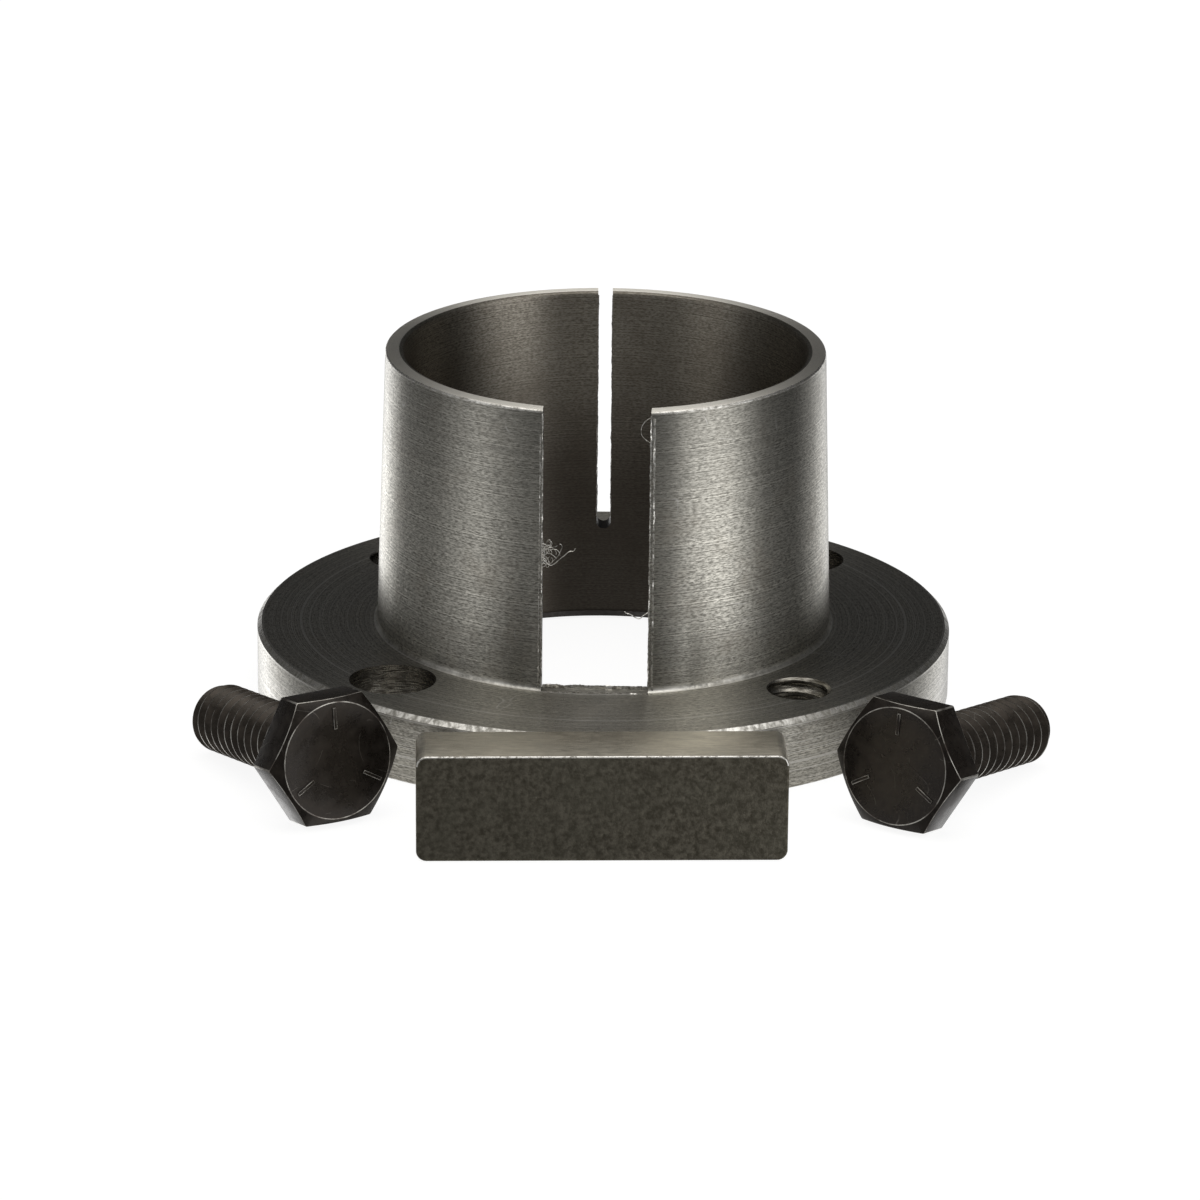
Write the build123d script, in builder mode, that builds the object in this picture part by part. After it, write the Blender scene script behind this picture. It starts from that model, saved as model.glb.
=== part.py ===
"""Flanged split taper bushing with its key and two cap screws, laid out on a bench.

Millimetres, +Z up. The origin is on the bushing's bore axis, in the flange face that
rests on the bench. The keyway opens towards -Y and the barrel stands up along +Z.
"""

import os
from math import atan2, cos, degrees, radians, sin, sqrt, tan

from build123d import *

# Flange
flange_diameter = 63.5
flange_thickness = 6.4
flange_top_chamfer = 0.4
flange_bottom_chamfer = 0.15

# Tapered barrel: 3/4 inch per foot on the diameter, so 1/32 on each side
bushing_height = 32.2
barrel_root_diameter = 41.55
taper_per_side = 1 / 32
barrel_root_fillet = 0.4
rim_outer_chamfer = 0.25

# Bore, 1-7/16 inch
bore_diameter = 36.512
bore_bottom_chamfer = 0.8
bore_top_chamfer = 0.3

# Keyway: open through the barrel wall, a flat-floored keyseat through the flange
key_side_clearance = 0.025
keyseat_depth = 1.5875

# Saw slit in the barrel, a little off the point opposite the keyway
slit_width = 1.35
slit_bottom = 9.0
slit_angle = 92.3

# Flange holes: two plain holes for the screws, two tapped ones for pushing the bushing off
bolt_circle_diameter = 51.2
screw_hole_clearance = 1.55
clearance_hole_angles = (-135, 45)
tapped_thread_height = 0.525
countersink_depth = 0.25
tapped_hole_angles = (-45, 141)

# Key, standing on one of its narrow long faces
key_length = 31.75
key_height = 9.5
key_thickness = 6.35
key_corner_radius = 0.9
key_edge_break = 0.15
key_shift = 1.5
key_gap = 7.0
key_turn = 4.1

# Cap screws, 1/4-20 UNC by 3/4 inch
across_flats = 11.0
head_height = 3.6
head_corner_rounding = 0.12
head_face_diameter = 10.3
head_chamfer_angle = 30
washer_face_height = 0.25
washer_face_diameter = 10.2
thread_diameter = 6.25
thread_pitch = 1.27
thread_depth = 0.7
thread_crest_flat = 0.13
thread_root_flat = 0.18
thread_start = 0.9
screw_length = 18.4
tip_chamfer = 0.75
mark_length = 1.9
mark_width = 0.32
mark_height = 0.12
mark_outer_radius = 4.7
bench_gap = 0.02

# Each screw's place on the bench: how far its head's face is from the flange's edge, in
# which direction from the bore axis, and the way its tip points
screw_places = {
    "cap_screw_left": (11.8, -119.5, 123.1),
    "cap_screw_right": (13.25, -53.8, 57.5),
}

flange_radius = flange_diameter / 2
barrel_root_radius = barrel_root_diameter / 2
barrel_height = bushing_height - flange_thickness
barrel_top_radius = barrel_root_radius - taper_per_side * barrel_height
bore_radius = bore_diameter / 2
bolt_circle_radius = bolt_circle_diameter / 2
keyway_width = key_height + key_side_clearance
clearance_hole_radius = (thread_diameter + screw_hole_clearance) / 2
tapped_hole_radius = thread_diameter / 2 - tapped_thread_height

# The keyseat floor stands keyseat_depth outside the line where the keyway meets the bore
keyseat_floor = sqrt(bore_radius**2 - (keyway_width / 2) ** 2) + keyseat_depth
past_the_wall = 2.0


def on_bolt_circle(angles):
    """Points on the bolt circle at the given angles from +X."""
    return [
        (bolt_circle_radius * cos(radians(angle)), bolt_circle_radius * sin(radians(angle)))
        for angle in angles
    ]


with BuildPart() as bushing:
    # Turned body: half of its section, revolved about the bore axis
    with BuildSketch(Plane.XZ) as turned_section:
        with BuildLine():
            Polyline(
                (bore_radius + bore_bottom_chamfer, 0),
                (flange_radius - flange_bottom_chamfer, 0),
                (flange_radius, flange_bottom_chamfer),
                (flange_radius, flange_thickness - flange_top_chamfer),
                (flange_radius - flange_top_chamfer, flange_thickness),
                (barrel_root_radius, flange_thickness),
                (barrel_top_radius, bushing_height - rim_outer_chamfer),
                (barrel_top_radius - rim_outer_chamfer, bushing_height),
                (bore_radius + bore_top_chamfer, bushing_height),
                (bore_radius, bushing_height - bore_top_chamfer),
                (bore_radius, bore_bottom_chamfer),
                close=True,
            )
        make_face()
        root_corner = turned_section.vertices().sort_by_distance((barrel_root_radius, 0, flange_thickness))
        fillet(root_corner[0], barrel_root_fillet)
    revolve(axis=Axis.Z)

    # Keyseat through the whole height, as deep as its flat floor
    with BuildSketch():
        with Locations((0, -keyseat_floor / 2)):
            Rectangle(keyway_width, keyseat_floor)
    extrude(amount=bushing_height, mode=Mode.SUBTRACT)

    # Above the flange the keyway goes right through the barrel wall
    with BuildSketch(Plane.XY.offset(flange_thickness)):
        with Locations((0, -(barrel_root_radius + past_the_wall) / 2)):
            Rectangle(keyway_width, barrel_root_radius + past_the_wall)
    extrude(amount=barrel_height, mode=Mode.SUBTRACT)

    # Saw slit with a round bottom, cut through one wall of the barrel
    slit_direction = Vector(cos(radians(slit_angle)), sin(radians(slit_angle)), 0)
    slit_top = bushing_height + past_the_wall
    slit_straight_bottom = slit_bottom + slit_width / 2
    with BuildSketch(Plane(origin=(0, 0, 0), x_dir=(0, 0, 1), z_dir=slit_direction)):
        with Locations(((slit_top + slit_straight_bottom) / 2, 0)):
            Rectangle(slit_top - slit_straight_bottom, slit_width)
        with Locations((slit_straight_bottom, 0)):
            Circle(slit_width / 2)
    extrude(amount=barrel_root_radius + past_the_wall, mode=Mode.SUBTRACT)

    # Plain clearance holes
    with Locations(Plane.XY.offset(flange_thickness)):
        with Locations(*on_bolt_circle(clearance_hole_angles)):
            Hole(clearance_hole_radius)

    # Tapped holes at their thread's minor diameter, lightly countersunk on both faces
    with Locations(Plane.XY.offset(flange_thickness)):
        with Locations(*on_bolt_circle(tapped_hole_angles)):
            Hole(tapped_hole_radius)
    tapped_rims = [
        edge
        for edge in bushing.edges().filter_by(GeomType.CIRCLE)
        if abs(edge.radius - tapped_hole_radius) < 0.01
    ]
    chamfer(tapped_rims, countersink_depth)
bushing.part.label = "split_taper_bushing"


key_frame = Plane(
    origin=(key_shift, -(flange_radius + key_gap + key_thickness / 2), key_height / 2),
    x_dir=(cos(radians(key_turn)), sin(radians(key_turn)), 0),
    z_dir=(sin(radians(key_turn)), -cos(radians(key_turn)), 0),
)
with BuildPart() as key:
    with BuildSketch(key_frame):
        RectangleRounded(key_length, key_height, key_corner_radius)
    extrude(amount=key_thickness / 2, both=True)
    key_faces = key.faces().sort_by(Axis(key_frame.origin, key_frame.z_dir))
    chamfer(key_faces[0].edges() + key_faces[-1].edges(), key_edge_break)
key.part.label = "key"


# The screw lies on the bearing edge of one head flat and on the start of its tip chamfer,
# so its axis slopes down to the tip
flat_radius = across_flats / 2
corner_radius = flat_radius / cos(radians(30))
thread_radius = thread_diameter / 2
root_radius = thread_radius - thread_depth
head_total = head_height + washer_face_height
tip_contact = head_total + screw_length - tip_chamfer
slope = atan2(flat_radius - thread_radius, tip_contact - head_height)
face_height = head_height * sin(slope) + flat_radius * cos(slope) + bench_gap


def screw_frame(gap, direction, turn):
    """Plane on the screw's head face, with +Z along the screw towards its tip."""
    reach = flange_radius + gap
    level = cos(slope)
    return Plane(
        origin=(reach * cos(radians(direction)), reach * sin(radians(direction)), face_height),
        x_dir=(sin(radians(turn)), -cos(radians(turn)), 0),
        z_dir=(level * cos(radians(turn)), level * sin(radians(turn)), -sin(slope)),
    )


with BuildPart() as cap_screw:
    # Hexagon with slightly rounded corners
    with BuildSketch() as hexagon:
        RegularPolygon(radius=flat_radius, side_count=6, major_radius=False)
        fillet(hexagon.vertices(), head_corner_rounding)
    extrude(amount=head_height)

    # Turned chamfer that takes the corners off the head's face
    chamfer_drop = (corner_radius - head_face_diameter / 2) * tan(radians(head_chamfer_angle))
    with BuildSketch(Plane.XZ):
        with BuildLine():
            Polyline(
                (0, 0),
                (head_face_diameter / 2, 0),
                (corner_radius, chamfer_drop),
                (corner_radius, head_height),
                (0, head_height),
                close=True,
            )
        make_face()
    revolve(axis=Axis.Z, mode=Mode.INTERSECT)

    # Three raised radial grade lines, each pointing at the middle of a flat
    with BuildSketch():
        with PolarLocations(mark_outer_radius - mark_length / 2, 3, start_angle=-90):
            Rectangle(mark_length, mark_width)
    extrude(amount=-mark_height)

    # Washer face under the head
    with BuildSketch(Plane.XY.offset(head_height)):
        Circle(washer_face_diameter / 2)
    extrude(amount=washer_face_height)

    # Threaded shank: a turned section with one V groove for each pitch, and a chamfered tip
    groove_width = thread_pitch - thread_crest_flat
    flank = (groove_width - thread_root_flat) / 2
    groove_start = head_total + thread_start
    groove_count = int((tip_contact - groove_start) / thread_pitch)
    groove_points = []
    for groove in range(groove_count):
        mouth = groove_start + groove * thread_pitch
        groove_points += [
            (thread_radius, mouth),
            (root_radius, mouth + flank),
            (root_radius, mouth + flank + thread_root_flat),
            (thread_radius, mouth + groove_width),
        ]
    with BuildSketch(Plane.XZ):
        with BuildLine():
            Polyline(
                (0, head_total),
                (thread_radius, head_total),
                *groove_points,
                (thread_radius, tip_contact),
                (thread_radius - tip_chamfer, head_total + screw_length),
                (0, head_total + screw_length),
                close=True,
            )
        make_face()
    revolve(axis=Axis.Z)

cap_screws = {}
for name, (gap, direction, turn) in screw_places.items():
    cap_screws[name] = screw_frame(gap, direction, turn).location * cap_screw.part
    cap_screws[name].label = name

os.makedirs("parts", exist_ok=True)
export_step(bushing.part, "parts/split_taper_bushing.step")
export_step(key.part, "parts/key.step")
for name, screw in cap_screws.items():
    export_step(screw, f"parts/{name}.step")

print("keyseat floor from the axis", round(keyseat_floor, 3))
print("barrel top radius", round(barrel_top_radius, 3))
print("screw slope", round(degrees(slope), 2), "head face centre height", round(face_height, 3))
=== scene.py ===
# %% [markdown]
# # A split taper bushing with its key and two cap screws
#
# A taper bushing clamps a pulley or a coupling to a shaft. Its barrel is a shallow cone with a
# saw slit, so that the screws, which pull it into the hub, also squeeze it onto the shaft. Here
# it stands on its flange, and its square key and two black cap screws lie in front of it.
#
# The CAD model is loaded first, as a frame that isn't moved. It gives every piece its place,
# and each new piece is then modelled at that place and rides on a body of the frame.

# %% Load the frame
import random
from math import atan2, cos, pi, radians, sin, sqrt, tan

import bmesh
import bpy
from mathutils import Matrix, Quaternion, Vector


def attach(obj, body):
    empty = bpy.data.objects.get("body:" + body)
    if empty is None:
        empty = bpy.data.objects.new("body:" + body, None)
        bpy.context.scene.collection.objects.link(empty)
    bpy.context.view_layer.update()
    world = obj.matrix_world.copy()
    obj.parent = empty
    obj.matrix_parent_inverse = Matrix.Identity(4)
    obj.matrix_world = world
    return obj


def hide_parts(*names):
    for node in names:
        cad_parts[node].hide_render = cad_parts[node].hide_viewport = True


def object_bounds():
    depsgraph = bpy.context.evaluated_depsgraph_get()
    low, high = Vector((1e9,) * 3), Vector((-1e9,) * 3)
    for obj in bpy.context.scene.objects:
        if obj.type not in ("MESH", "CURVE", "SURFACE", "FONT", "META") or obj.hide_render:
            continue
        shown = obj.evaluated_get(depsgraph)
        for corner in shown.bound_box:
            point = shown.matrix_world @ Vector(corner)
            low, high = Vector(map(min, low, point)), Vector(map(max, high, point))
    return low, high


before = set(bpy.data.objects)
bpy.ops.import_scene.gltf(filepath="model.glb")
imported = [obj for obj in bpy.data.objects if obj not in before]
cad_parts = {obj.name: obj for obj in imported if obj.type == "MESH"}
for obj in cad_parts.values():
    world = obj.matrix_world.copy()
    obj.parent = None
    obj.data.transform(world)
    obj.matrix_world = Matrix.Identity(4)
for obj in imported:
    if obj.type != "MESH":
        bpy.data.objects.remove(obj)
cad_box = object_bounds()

# %% [markdown]
# ## Sizes
#
# Blender works in metres and a machinist in millimetres, so each size is written in
# millimetres times `MM`. They are the driving sizes of the CAD part, so the pieces made here
# fill the same space as the solids that they stand for.

# %% Sizes of the bushing
MM = 0.001

flange_radius = 31.75 * MM
flange_thickness = 6.4 * MM
bushing_height = 32.2 * MM
barrel_root_radius = 20.775 * MM
taper_per_side = 1 / 32
barrel_height = bushing_height - flange_thickness
barrel_top_radius = barrel_root_radius - taper_per_side * barrel_height
bore_radius = 18.256 * MM
keyway_width = 9.525 * MM
keyseat_floor = sqrt(bore_radius**2 - (keyway_width / 2) ** 2) + 1.5875 * MM
bolt_circle_radius = 25.6 * MM
past_the_wall = 2 * MM

print("barrel radius at the top", round(barrel_top_radius / MM, 3), "mm")
print("keyseat floor from the axis", round(keyseat_floor / MM, 3), "mm")

# %% [markdown]
# ## Tools for modelling
#
# Every piece is modelled as by hand: a primitive is added, faces or edges are selected, and an
# operator works on what is selected. With no mouse, the selecting is done in code, by place or
# by normal. These helpers are the hand that picks.


# %% Helpers for picking and placing
def only(piece):
    """Makes this the one selected and active object."""
    bpy.ops.object.select_all(action="DESELECT")
    piece.select_set(True)
    bpy.context.view_layer.objects.active = piece


def settle(piece):
    """Puts the piece's place, turn and size into its mesh."""
    only(piece)
    bpy.ops.object.transform_apply(location=True, rotation=True, scale=True)


def added(name):
    """Names the primitive that was just added and puts its place into its mesh."""
    piece = bpy.context.object
    piece.name = name
    settle(piece)
    return piece


def add_cylinder(name, radius, bottom, top, sides=96, x=0, y=0, turn=0):
    """A cylinder that stands at (x, y), from bottom to top."""
    bpy.ops.object.select_all(action="DESELECT")
    bpy.ops.mesh.primitive_cylinder_add(
        vertices=sides, radius=radius, depth=top - bottom,
        location=(x, y, (bottom + top) / 2), rotation=(0, 0, turn))
    return added(name)


def add_box(name, size, place=(0, 0, 0), turn=0):
    """A box of this size about its middle, turned about Z."""
    bpy.ops.object.select_all(action="DESELECT")
    bpy.ops.mesh.primitive_cube_add(size=1, location=place, rotation=(0, 0, turn), scale=size)
    return added(name)


def paint(piece, *finishes):
    """Gives the piece its finishes, one material slot each."""
    for finish in finishes:
        piece.data.materials.append(finish)


def edit(piece):
    only(piece)
    bpy.ops.object.mode_set(mode="EDIT")


def leave_edit():
    bpy.ops.object.mode_set(mode="OBJECT")


def pick(piece, kind, test):
    """In edit mode, selects only the faces, edges or vertices that pass the test."""
    bpy.ops.mesh.select_mode(type=kind)
    bpy.ops.mesh.select_all(action="DESELECT")
    shape = bmesh.from_edit_mesh(piece.data)
    items = {"FACE": shape.faces, "EDGE": shape.edges, "VERT": shape.verts}[kind]
    picked = [item for item in items if test(item)]
    for item in picked:
        item.select_set(True)
    shape.select_flush_mode()
    bmesh.update_edit_mesh(piece.data)
    return len(picked)


def radius_of(point):
    return sqrt(point.x**2 + point.y**2)


def middle(edge):
    return (edge.verts[0].co + edge.verts[1].co) / 2


def span(edge):
    """How far the edge runs along X, Y and Z."""
    return [abs(step) for step in edge.verts[1].co - edge.verts[0].co]


def pick_ring(piece, radius, height):
    """Selects the ring of edges at this radius and height."""
    near = 0.02 * MM
    return pick(piece, "EDGE", lambda edge: all(
        abs(radius_of(corner.co) - radius) < near and abs(corner.co.z - height) < near
        for corner in edge.verts))


def bevel(width, segments=1, material=-1):
    """Rounds or chamfers the selected edges."""
    bpy.ops.mesh.bevel(offset=width, segments=segments, affect="EDGES", clamp_overlap=False,
                       material=material)


def pick_all():
    bpy.ops.mesh.select_all(action="SELECT")


def face_outwards():
    """In edit mode, turns every face of the piece outwards."""
    pick_all()
    bpy.ops.mesh.normals_make_consistent(inside=False)


def extrude(x=0, y=0, z=0):
    bpy.ops.mesh.extrude_region_move(TRANSFORM_OT_translate={"value": (x, y, z)})


# %% Helpers for joining and finishing
def work_with(piece, tool, operation):
    """Cuts, joins or intersects the piece with a tool, and throws the tool away."""
    only(piece)
    boolean = piece.modifiers.new("work", "BOOLEAN")
    boolean.operation = operation
    boolean.solver = "EXACT"
    boolean.object = tool
    bpy.ops.object.modifier_apply(modifier=boolean.name)
    bpy.data.objects.remove(tool, do_unlink=True)


def tidy_mesh(piece, smooth_angle=35):
    """Merges doubles, turns the faces outwards and smooths all but the sharp edges."""
    edit(piece)
    pick_all()
    bpy.ops.mesh.remove_doubles(threshold=0.0005 * MM)
    face_outwards()
    leave_edit()
    bpy.ops.object.shade_smooth_by_angle(angle=radians(smooth_angle))


def closed_report(piece):
    """Prints the piece's size in triangles and how many of its edges are open."""
    shape = bmesh.new()
    shape.from_mesh(piece.data)
    open_edges = sum(1 for edge in shape.edges if not edge.is_manifold)
    triangles = sum(len(face.verts) - 2 for face in shape.faces)
    print(piece.name, triangles, "triangles,", open_edges, "open edges,",
          round(shape.calc_volume() / MM**3, 1), "mm3")
    shape.free()


def joined(pieces, name):
    """Joins small pieces into one, smooth but for its sharpest edges."""
    only(pieces[0])
    for piece in pieces[1:]:
        piece.select_set(True)
    bpy.ops.object.join()
    whole = bpy.context.object
    whole.name = name
    tidy_mesh(whole, 60)
    closed_report(whole)
    return whole


# %% [markdown]
# ## The camera
#
# The camera stands well back with a long lens, so the bushing's sides stay nearly parallel. It
# comes first because the light is judged through it.

# %% Camera
camera_data = bpy.data.cameras.new("camera")
camera_data.lens = 186.95
camera_data.sensor_width = 36
camera = bpy.data.objects.new("camera", camera_data)
bpy.context.scene.collection.objects.link(camera)

camera_place = Vector((0.019798, -0.540888, 0.193552))
camera_target = Vector((-0.00032, 0.0, 0.00809))
camera_roll = 0.00906
aim = (camera_target - camera_place).to_track_quat("-Z", "Y")
camera.location = camera_place
camera.rotation_mode = "QUATERNION"
camera.rotation_quaternion = aim @ Quaternion((0, 0, 1), camera_roll)
camera_data.clip_start = 0.01
camera_data.clip_end = 20
bpy.context.scene.camera = camera
bpy.context.scene.view_settings.view_transform = "Standard"
print("camera is", round((camera_target - camera_place).length, 3), "m from its target")

# %% [markdown]
# ## Small tools for nodes
#
# A material is a tree of nodes. These helpers add a node, set its sockets and link it in one
# call, so that each material below reads as a recipe.


# %% Helpers for nodes
def node(tree, kind, sockets=None, **settings):
    """Adds a node. Each socket gets a plain value, or a link if it is given another socket."""
    made = tree.nodes.new("ShaderNode" + kind)
    for name, value in settings.items():
        setattr(made, name, value)
    for name, value in (sockets or {}).items():
        if isinstance(value, bpy.types.NodeSocket):
            tree.links.new(value, made.inputs[name])
        else:
            made.inputs[name].default_value = value
    return made


def owner(*values):
    """The tree that is being built: the one that a socket among these values belongs to."""
    return next(value.id_data for value in values if isinstance(value, bpy.types.NodeSocket))


def sums(operation, first, second=0.0, third=0.0):
    """One step of arithmetic."""
    tree = owner(first, second, third)
    return node(tree, "Math", {0: first, 1: second, 2: third}, operation=operation).outputs[0]


def times(first, second):
    return sums("MULTIPLY", first, second)


def parts_of(place):
    """The X, Y and Z of a place."""
    return node(owner(place), "SeparateXYZ", {0: place}).outputs


def stretched(place, scale, turn=0.0):
    """The place, turned about Z and then measured with a scale of its own along each axis."""
    sockets = {"Vector": place, "Rotation": (0, 0, turn), "Scale": scale}
    return node(owner(place), "Mapping", sockets).outputs[0]


def from_z_axis(part):
    """How far a place, given by its parts, is from the Z axis."""
    squares = [sums("POWER", part[letter], 2.0) for letter in "XY"]
    return sums("SQRT", sums("ADD", *squares))


def between(value, low, high, to_low=0.0, to_high=1.0):
    """Turns values from low to high smoothly into values from to_low to to_high."""
    sockets = {"Value": value, "From Min": low, "From Max": high,
               "To Min": to_low, "To Max": to_high}
    made = node(owner(value), "MapRange", sockets, interpolation_type="SMOOTHSTEP")
    return made.outputs[0]


def blend_colour(amount, first, second):
    """Mixes two colours, each a socket or a tuple of three."""
    mix = node(owner(amount), "Mix", {"Factor": amount}, data_type="RGBA")
    for socket, value in ((mix.inputs[6], first), (mix.inputs[7], second)):
        if isinstance(value, bpy.types.NodeSocket):
            owner(amount).links.new(value, socket)
        else:
            socket.default_value = (*value, 1.0)
    return mix.outputs[2]


def two_tone(value, low, high, dark, light):
    """Dark where the value is low, light where it is high."""
    return blend_colour(between(value, low, high), dark, light)


def noise(place, scale=1.0, detail=2.0, roughness=0.5):
    sockets = {"Vector": place, "Scale": scale, "Detail": detail, "Roughness": roughness}
    return node(owner(place), "TexNoise", sockets).outputs["Fac"]


def new_group(name, inputs, outputs):
    """An empty shader node group with named sockets: (name, type, value) in, (name, type) out."""
    group = bpy.data.node_groups.new(name, "ShaderNodeTree")
    for socket_name, kind, value in inputs:
        socket = group.interface.new_socket(socket_name, in_out="INPUT", socket_type=kind)
        if value is not None:
            socket.default_value = value
    for socket_name, kind in outputs:
        group.interface.new_socket(socket_name, in_out="OUTPUT", socket_type=kind)
    start = group.nodes.new("NodeGroupInput")
    end = group.nodes.new("NodeGroupOutput")
    return group, start.outputs, end.inputs


def use_group(group, sockets):
    """Places a group in a material with its own values."""
    return node(owner(*sockets.values()), "Group", sockets, node_tree=group).outputs


FLOAT, VECTOR = "NodeSocketFloat", "NodeSocketVector"

# %% [markdown]
# ## The light
#
# Bare steel shows what stands round it more than its own colour. So the light is a studio
# painted on the world: a tall bright panel to the right, a weaker one to the left, a bright
# table behind, and dark gaps between them that make the barrel look round. The camera itself
# sees plain white. A ramp round the compass holds the panels, because one ramp is easier to
# adjust than a set of lamps.

# %% The studio round the object
studio = bpy.data.worlds.new("studio")
bpy.context.scene.world = studio
studio.use_nodes = True
sky = studio.node_tree
sky.nodes.clear()


def compass_ramp(direction, stops):
    """Brightness by compass: degrees from the camera's side, positive to the right."""
    ramp = node(sky, "ValToRGB", {0: direction})
    ramp.color_ramp.interpolation = "EASE"
    marks = ramp.color_ramp.elements
    while len(marks) < len(stops):
        marks.new(0.5)
    for mark, (degrees_round, brightness) in zip(marks, stops):
        mark.position = 0.5 + degrees_round / 360
    for mark, (degrees_round, brightness) in zip(marks, stops):
        mark.color = (brightness, brightness, brightness, 1)
    return ramp.outputs[0]


toward = node(sky, "TexCoord").outputs["Generated"]
apart = parts_of(toward)
compass = sums("ARCTAN2", apart["X"], times(apart["Y"], -1.0))
compass = sums("MULTIPLY_ADD", compass, 1 / (2 * pi), 0.5)

table_level = compass_ramp(compass, [
    (-180, 0.45), (-170, 0.55), (-161, 1.4), (-150, 2.3), (-139, 1.35), (-124, 0.28),
    (-95, 0.19), (-78, 0.38), (-64, 0.76), (-50, 0.38), (-38, 0.18), (0, 0.13), (28, 0.09),
    (38, 0.17), (48, 1.25), (66, 1.60), (76, 0.70), (88, 0.16), (116, 0.09), (131, 0.38),
    (147, 1.15), (158, 1.3), (169, 0.6), (180, 0.45),
])
eye_level = compass_ramp(compass, [
    (-180, 0.055), (-120, 0.07), (-95, 0.18), (-64, 0.68), (-50, 0.34), (-38, 0.16),
    (0, 0.15), (28, 0.12), (38, 0.25), (48, 1.20), (66, 1.40), (76, 0.80), (90, 0.14),
    (116, 0.05), (180, 0.045),
])
overhead = (1.5, 1.48, 1.44)
around = blend_colour(between(apart["Z"], -0.12, 0.0), table_level, eye_level)
around = blend_colour(between(apart["Z"], 0.66, 0.99), around, overhead)

seen_by_camera = node(sky, "LightPath").outputs["Is Camera Ray"]
white = (0.975, 0.975, 0.975)
shown = blend_colour(seen_by_camera, around, white)
background = node(sky, "Background", {"Color": shown, "Strength": 1.0})
node(sky, "OutputWorld", {"Surface": background.outputs[0]})
print("studio has", len(sky.nodes), "nodes")

# %% [markdown]
# ## The floor
#
# The floor is a plain pale sheet. Most of its white is its own glow, so that it stays white up
# to the horizon, and a small part is lit, which leaves a faint soft shadow under each piece. The
# steel mirrors only the floor close by. Further out, mirror rays pass through it and meet the
# studio's table, whose bright and dark parts shape the steel.

# %% Floor
bpy.ops.object.select_all(action="DESELECT")
bpy.ops.mesh.primitive_plane_add(size=6, location=(0, 0, cad_box[0].z - 0.01 * MM))
floor = added("floor")

floor_finish = bpy.data.materials.new("pale_floor")
floor_finish.use_nodes = True
sheet = floor_finish.node_tree
sheet.nodes.clear()
sheet_place = node(sheet, "TexCoord").outputs["Object"]
sheet_tone = between(noise(sheet_place, 12.0), 0.3, 0.7, 0.895, 0.905)
glow = node(sheet, "Emission", {"Color": sheet_tone, "Strength": 1.0})
lit = node(sheet, "BsdfDiffuse", {"Color": (0.22, 0.22, 0.22, 1)})
both = node(sheet, "AddShader", {0: glow.outputs[0], 1: lit.outputs[0]})

sheet_part = parts_of(sheet_place)
close_by = between(from_z_axis(sheet_part), 38 * MM, 46 * MM, 1.0, 0.0)
in_front = between(sheet_part["Y"], -26 * MM, -18 * MM, 1.0, 0.0)
close_by = times(close_by, in_front)
close_glow = node(sheet, "Emission", {"Color": (0.56, 0.55, 0.53, 1)})
see_through = node(sheet, "BsdfTransparent")
mirrored = node(sheet, "MixShader", {0: close_by, 1: see_through.outputs[0],
                                     2: close_glow.outputs[0]})
in_mirror = node(sheet, "LightPath").outputs["Is Glossy Ray"]
either = node(sheet, "MixShader", {0: in_mirror, 1: both.outputs[0], 2: mirrored.outputs[0]})
node(sheet, "OutputMaterial", {"Surface": either.outputs[0]})
paint(floor, floor_finish)
floor.visible_diffuse = False
floor.visible_shadow = False

# %% [markdown]
# ## Turning marks, stains, scratches
#
# Three effects turn up on more than one finish, so each is a node group, built once.
#
# * A lathe tool leaves fine rings. On a wall they lie one above another, on a flat face they
#   are circles, and height plus radius grows across both, so one noise squeezed along that sum
#   draws the marks everywhere.
# * Oil and handling leave cloudy stains.
# * Sliding about in a drawer leaves thin scratches: the lines where a slow noise passes one
#   value, kept only in places.


# %% Node group for turning marks
turning_marks, given, out = new_group(
    "turning_marks",
    [("Place", VECTOR, None), ("Line Width", FLOAT, 0.0001), ("Dash Length", FLOAT, 0.0005)],
    [("Fine Lines", FLOAT), ("Broad Rings", FLOAT), ("Tool Lines", FLOAT), ("Radius", FLOAT)],
)
links = turning_marks.links
part = parts_of(given["Place"])
from_axis = from_z_axis(part)
feed = sums("ADD", from_axis, part["Z"])
feed_in_lines = sums("DIVIDE", feed, given["Line Width"])


def rings(width_factor, detail):
    """Unbroken rings: a noise of one dimension, along the tool's feed."""
    feed_here = sums("DIVIDE", feed_in_lines, width_factor)
    sockets = {"W": feed_here, "Scale": 1.0, "Detail": detail, "Roughness": 0.6}
    return node(turning_marks, "TexNoise", sockets, noise_dimensions="1D").outputs["Fac"]


dash_place = node(turning_marks, "CombineXYZ", {
    "X": sums("DIVIDE", part["X"], given["Dash Length"]),
    "Y": sums("DIVIDE", part["Y"], given["Dash Length"]),
    "Z": feed_in_lines,
}).outputs[0]
dashes = noise(dash_place, 1.0, 2.0, 0.6)
unbroken = rings(1.3, 1.0)
fine_lines = sums("MULTIPLY_ADD", unbroken, 0.28, times(dashes, 0.72))
tool_line = sums("ABSOLUTE", sums("SUBTRACT", rings(9, 1.0), 0.5))
links.new(fine_lines, out["Fine Lines"])
links.new(rings(7, 1.0), out["Broad Rings"])
links.new(between(tool_line, 0.0, 0.03, 1.0, 0.0), out["Tool Lines"])
links.new(from_axis, out["Radius"])
print("turning_marks has", len(turning_marks.nodes), "nodes")

# %% Node group for stains
cloudy_stains, given, out = new_group(
    "cloudy_stains",
    [("Place", VECTOR, None), ("Size", FLOAT, 0.005), ("Start", FLOAT, 0.45),
     ("Full", FLOAT, 0.7)],
    [("Mask", FLOAT)],
)
cloud_scale = sums("DIVIDE", 1.0, given["Size"])
cloud = noise(given["Place"], cloud_scale, 5.0, 0.62)
cloudy_stains.links.new(between(cloud, given["Start"], given["Full"]), out[0])

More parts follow.
